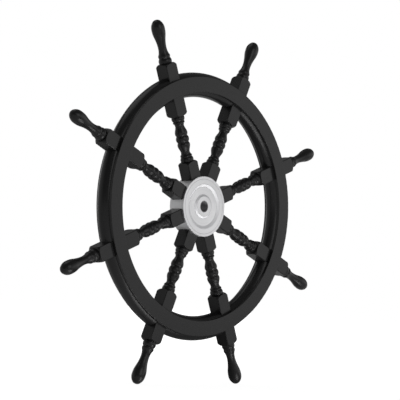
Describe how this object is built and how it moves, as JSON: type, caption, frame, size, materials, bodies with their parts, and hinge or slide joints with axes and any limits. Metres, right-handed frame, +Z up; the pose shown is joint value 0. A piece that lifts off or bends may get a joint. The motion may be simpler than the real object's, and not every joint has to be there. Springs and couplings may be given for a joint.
{
  "type": "ship steering wheel",
  "caption": "Turned wooden ship's steering wheel with grip handles, a rim of blocks and segments between trim rings, and a metal hub bored for a shaft.",
  "frame": {"origin": "centre of the shaft bore, midway between the hub's front and back faces and in the plane of the spokes' axes", "axes": "+Y along the shaft bore towards the back of the wheel, so the front faces -Y; +Z up, midway between the two top spokes; +X to the right seen from the front"},
  "size_m": [0.847, 0.0485, 0.847],
  "materials": {
    "black_wood": "black satin lacquer over turned wood",
    "core_wood": "black stained, unpolished",
    "hub_metal": "turned and polished",
    "bush_steel": "blackened, oiled",
    "screw_steel": "brushed",
    "screw_black": "black satin",
    "dowel_wood": "bare beech"
  },
  "bodies": {
    "bush": {"hub_bush": "bush_steel"},
    "wheel": {"spoke_1": "black_wood", "spoke_2": "black_wood", "spoke_3": "black_wood", "spoke_4": "black_wood", "spoke_5": "black_wood", "spoke_6": "black_wood", "spoke_7": "black_wood", "spoke_8": "black_wood", "rim_segment_1": "black_wood", "rim_segment_2": "black_wood", "rim_segment_3": "black_wood", "rim_segment_4": "black_wood", "rim_segment_5": "black_wood", "rim_segment_6": "black_wood", "rim_segment_7": "black_wood", "rim_segment_8": "black_wood", "front_ring": "black_wood", "back_ring": "black_wood", "hub_core": "core_wood", "hub_drum": "hub_metal", "hub_front_plate": "hub_metal", "hub_back_plate": "hub_metal", "hub_screws": "screw_steel", "ring_screws": "screw_black", "rim_dowels": "dowel_wood"}
  },
  "joints": [
    {"name": "wheel_turn", "type": "hinge", "parent": "bush", "child": "wheel", "pos_m": [0, 0, 0], "axis": [0, -1, 0], "continuous": true}
  ]
}
